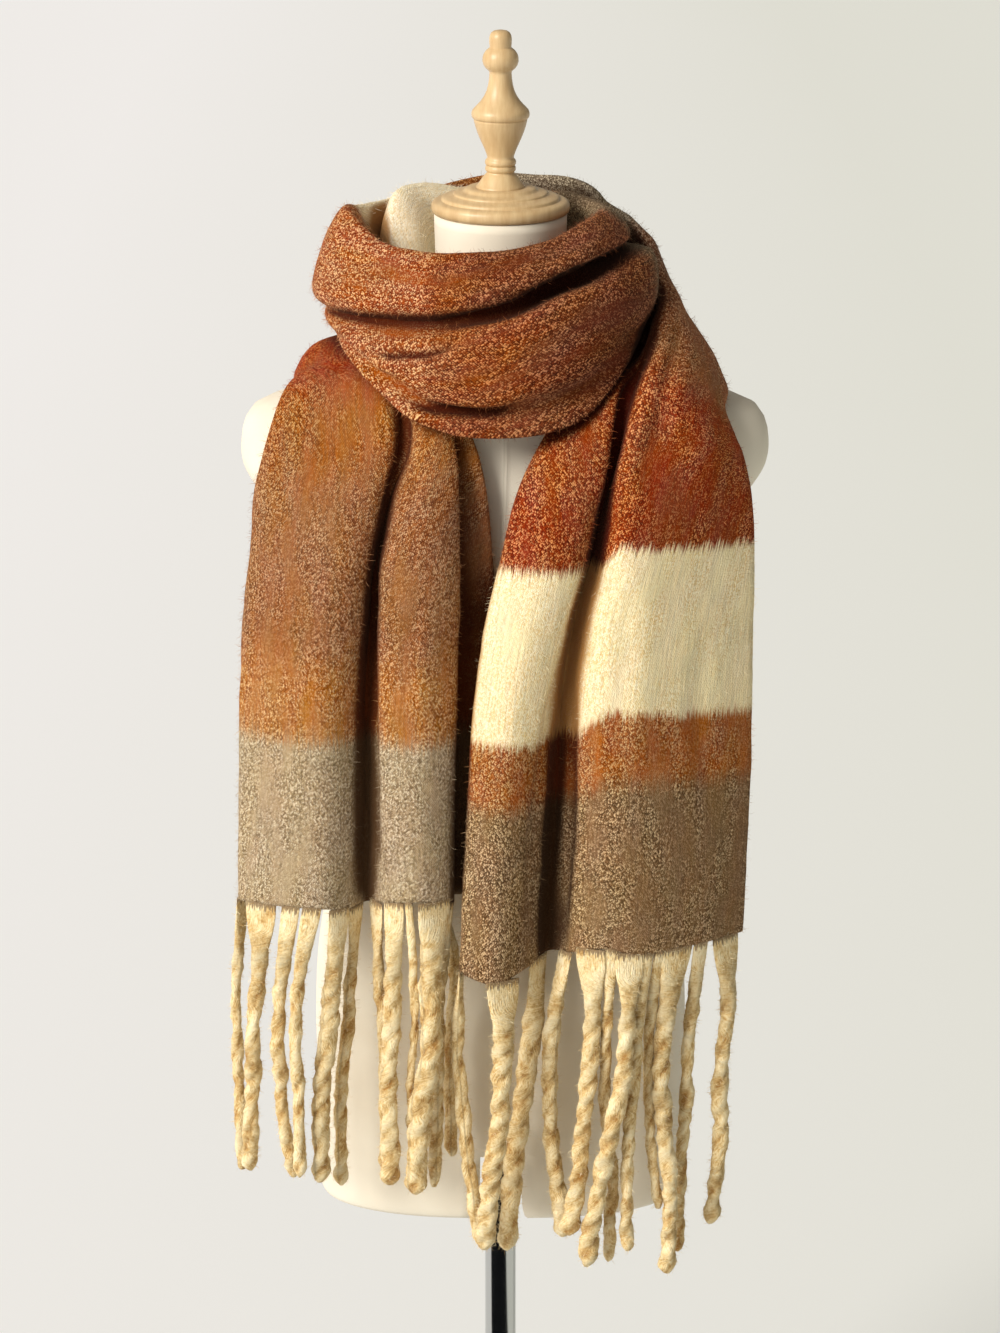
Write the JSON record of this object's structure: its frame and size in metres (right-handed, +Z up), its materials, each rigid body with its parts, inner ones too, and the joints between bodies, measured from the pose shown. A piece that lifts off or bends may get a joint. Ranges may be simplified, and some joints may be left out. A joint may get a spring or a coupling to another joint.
{
  "type": "blanket scarf on a dress form",
  "caption": "Wide woven blanket scarf wound round the neck of a limbless dress form on a round stand, its fringed ends hanging down the front.",
  "frame": {"origin": "centre of the stand base underside, on the floor", "axes": "+Z up, front of the form faces -Y, +X to the viewer's right from the front"},
  "size_m": [0.4121, 0.3, 1.4273],
  "materials": {
    "scarf_wool": "brushed woven wool, banded rust, orange-brown, mauve-brown, taupe and cream",
    "fringe_yarn": "twisted cream boucle yarn",
    "form_linen": "plain cream linen cover",
    "turned_wood": "pale turned wood, satin",
    "stand_metal": "polished metal"
  },
  "bodies": {
    "root": {"tail_left": "scarf_wool", "wrap_back_inner": "scarf_wool", "front_loop": "scarf_wool", "wrap_back_outer": "scarf_wool", "tail_right": "scarf_wool", "fringe_left": "fringe_yarn", "fringe_right": "fringe_yarn", "form_torso": "form_linen", "neck_cap": "turned_wood", "finial": "turned_wood", "stand_collar": "stand_metal", "stand_pole": "stand_metal", "stand_base": "stand_metal"}
  },
  "joints": []
}
